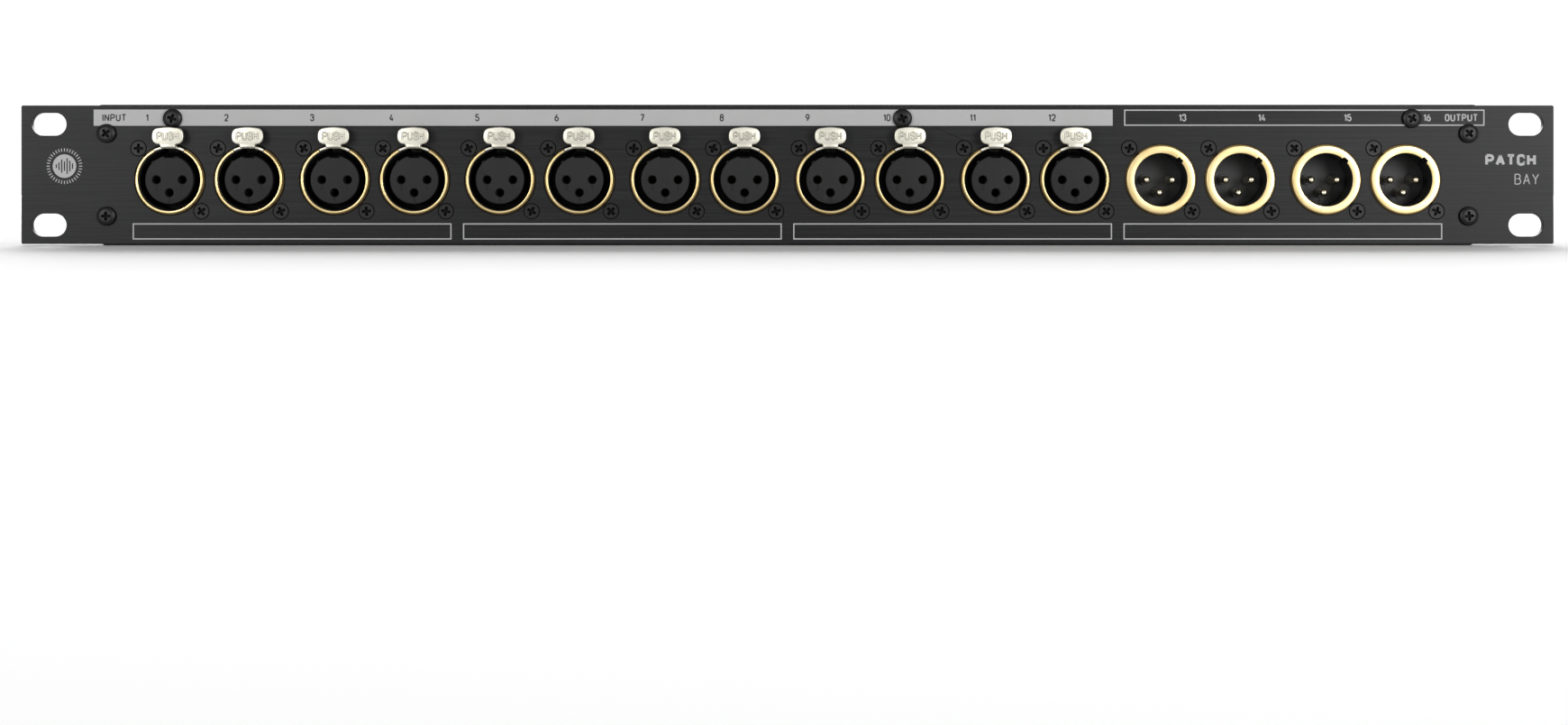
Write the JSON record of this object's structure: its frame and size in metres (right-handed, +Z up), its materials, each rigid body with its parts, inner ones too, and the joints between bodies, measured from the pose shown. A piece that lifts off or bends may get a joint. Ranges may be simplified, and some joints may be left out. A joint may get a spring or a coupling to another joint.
{
  "type": "audio patch bay",
  "caption": "Rack-mount audio patch bay: black brushed panel with a row of round 3-pin audio sockets in gold rings, push latches, and matching sockets on the back.",
  "frame": {"origin": "centre of the four rack slots, on the rear face of the front panel", "axes": "+X to the right for a viewer in front of the panel, +Y into the rack, +Z up"},
  "size_m": [0.4826, 0.1124, 0.0444],
  "materials": {
    "panel_finish": "black anodised aluminium with a fine horizontal brushed grain",
    "chassis_paint": "fine-textured black powder coat on steel sheet",
    "housing_plastic": "black moulded nylon",
    "insert_plastic": "dark grey moulded nylon with embossed contact numbers",
    "gold_plate": "bright gold plating, softly polished",
    "contact_plate": "pale gold-plated contacts",
    "latch_metal": "satin nickel plating, bead blasted",
    "black_screws": "black zinc, slightly oily sheen",
    "zinc_screws": "bright zinc",
    "spring_steel": "drawn spring wire",
    "standoff_brass": "turned brass",
    "board_laminate": "green solder mask on glass-fibre laminate"
  },
  "bodies": {
    "chassis": {"front_panel": "panel_finish", "chassis_tray": "chassis_paint", "top_cover": "chassis_paint", "rear_panel": "chassis_paint", "board_standoffs": "standoff_brass", "board_screws": "zinc_screws", "front_panel_screws": "black_screws", "front_connector_screws": "black_screws", "rear_connector_screws": "black_screws", "cover_screws": "black_screws", "rear_panel_screws": "black_screws", "rear_male_housings": "housing_plastic", "rear_female_housings": "housing_plastic", "female_rings": "gold_plate", "male_rings": "gold_plate", "female_inserts": "insert_plastic", "male_inserts": "insert_plastic", "socket_contacts": "contact_plate", "pin_contacts": "contact_plate", "latch_pins": "spring_steel", "latch_springs": "spring_steel", "patch_board_1": "board_laminate", "patch_board_2": "board_laminate", "patch_board_3": "board_laminate", "patch_board_4": "board_laminate", "input_housing_01": "housing_plastic", "input_housing_02": "housing_plastic", "input_housing_03": "housing_plastic", "input_housing_04": "housing_plastic", "input_housing_05": "housing_plastic", "input_housing_06": "housing_plastic", "input_housing_07": "housing_plastic", "input_housing_08": "housing_plastic", "input_housing_09": "housing_plastic", "input_housing_10": "housing_plastic", "input_housing_11": "housing_plastic", "input_housing_12": "housing_plastic", "output_housing_13": "housing_plastic", "output_housing_14": "housing_plastic", "output_housing_15": "housing_plastic", "output_housing_16": "housing_plastic"},
    "latch_01": {"input_latch_01": "latch_metal"},
    "latch_02": {"input_latch_02": "latch_metal"},
    "latch_03": {"input_latch_03": "latch_metal"},
    "latch_04": {"input_latch_04": "latch_metal"},
    "latch_05": {"input_latch_05": "latch_metal"},
    "latch_06": {"input_latch_06": "latch_metal"},
    "latch_07": {"input_latch_07": "latch_metal"},
    "latch_08": {"input_latch_08": "latch_metal"},
    "latch_09": {"input_latch_09": "latch_metal"},
    "latch_10": {"input_latch_10": "latch_metal"},
    "latch_11": {"input_latch_11": "latch_metal"},
    "latch_12": {"input_latch_12": "latch_metal"},
    "latch_13": {"rear_latch_13": "latch_metal"},
    "latch_14": {"rear_latch_14": "latch_metal"},
    "latch_15": {"rear_latch_15": "latch_metal"},
    "latch_16": {"rear_latch_16": "latch_metal"}
  },
  "joints": [
    {"name": "input_latch_01_push", "type": "hinge", "parent": "chassis", "child": "latch_01", "pos_m": [-0.1945, 0.013, 0.0093], "axis": [-1, 0, 0], "range_deg": [0, 5], "stiffness_Nm_per_rad": 0.2, "springref_deg": -8.59},
    {"name": "input_latch_02_push", "type": "hinge", "parent": "chassis", "child": "latch_02", "pos_m": [-0.1695, 0.013, 0.0093], "axis": [-1, 0, 0], "range_deg": [0, 5], "stiffness_Nm_per_rad": 0.2, "springref_deg": -8.59},
    {"name": "input_latch_03_push", "type": "hinge", "parent": "chassis", "child": "latch_03", "pos_m": [-0.1425, 0.013, 0.0093], "axis": [-1, 0, 0], "range_deg": [0, 5], "stiffness_Nm_per_rad": 0.2, "springref_deg": -8.59},
    {"name": "input_latch_04_push", "type": "hinge", "parent": "chassis", "child": "latch_04", "pos_m": [-0.1175, 0.013, 0.0093], "axis": [-1, 0, 0], "range_deg": [0, 5], "stiffness_Nm_per_rad": 0.2, "springref_deg": -8.59},
    {"name": "input_latch_05_push", "type": "hinge", "parent": "chassis", "child": "latch_05", "pos_m": [-0.0905, 0.013, 0.0093], "axis": [-1, 0, 0], "range_deg": [0, 5], "stiffness_Nm_per_rad": 0.2, "springref_deg": -8.59},
    {"name": "input_latch_06_push", "type": "hinge", "parent": "chassis", "child": "latch_06", "pos_m": [-0.0655, 0.013, 0.0093], "axis": [-1, 0, 0], "range_deg": [0, 5], "stiffness_Nm_per_rad": 0.2, "springref_deg": -8.59},
    {"name": "input_latch_07_push", "type": "hinge", "parent": "chassis", "child": "latch_07", "pos_m": [-0.0385, 0.013, 0.0093], "axis": [-1, 0, 0], "range_deg": [0, 5], "stiffness_Nm_per_rad": 0.2, "springref_deg": -8.59},
    {"name": "input_latch_08_push", "type": "hinge", "parent": "chassis", "child": "latch_08", "pos_m": [-0.0135, 0.013, 0.0093], "axis": [-1, 0, 0], "range_deg": [0, 5], "stiffness_Nm_per_rad": 0.2, "springref_deg": -8.59},
    {"name": "input_latch_09_push", "type": "hinge", "parent": "chassis", "child": "latch_09", "pos_m": [0.0135, 0.013, 0.0093], "axis": [-1, 0, 0], "range_deg": [0, 5], "stiffness_Nm_per_rad": 0.2, "springref_deg": -8.59},
    {"name": "input_latch_10_push", "type": "hinge", "parent": "chassis", "child": "latch_10", "pos_m": [0.0385, 0.013, 0.0093], "axis": [-1, 0, 0], "range_deg": [0, 5], "stiffness_Nm_per_rad": 0.2, "springref_deg": -8.59},
    {"name": "input_latch_11_push", "type": "hinge", "parent": "chassis", "child": "latch_11", "pos_m": [0.0655, 0.013, 0.0093], "axis": [-1, 0, 0], "range_deg": [0, 5], "stiffness_Nm_per_rad": 0.2, "springref_deg": -8.59},
    {"name": "input_latch_12_push", "type": "hinge", "parent": "chassis", "child": "latch_12", "pos_m": [0.0905, 0.013, 0.0093], "axis": [-1, 0, 0], "range_deg": [0, 5], "stiffness_Nm_per_rad": 0.2, "springref_deg": -8.59},
    {"name": "rear_latch_13_push", "type": "hinge", "parent": "chassis", "child": "latch_13", "pos_m": [0.1175, 0.085, 0.0093], "axis": [1, 0, 0], "range_deg": [0, 5], "stiffness_Nm_per_rad": 0.2, "springref_deg": -8.59},
    {"name": "rear_latch_14_push", "type": "hinge", "parent": "chassis", "child": "latch_14", "pos_m": [0.1425, 0.085, 0.0093], "axis": [1, 0, 0], "range_deg": [0, 5], "stiffness_Nm_per_rad": 0.2, "springref_deg": -8.59},
    {"name": "rear_latch_15_push", "type": "hinge", "parent": "chassis", "child": "latch_15", "pos_m": [0.1695, 0.085, 0.0093], "axis": [1, 0, 0], "range_deg": [0, 5], "stiffness_Nm_per_rad": 0.2, "springref_deg": -8.59},
    {"name": "rear_latch_16_push", "type": "hinge", "parent": "chassis", "child": "latch_16", "pos_m": [0.1945, 0.085, 0.0093], "axis": [1, 0, 0], "range_deg": [0, 5], "stiffness_Nm_per_rad": 0.2, "springref_deg": -8.59}
  ]
}
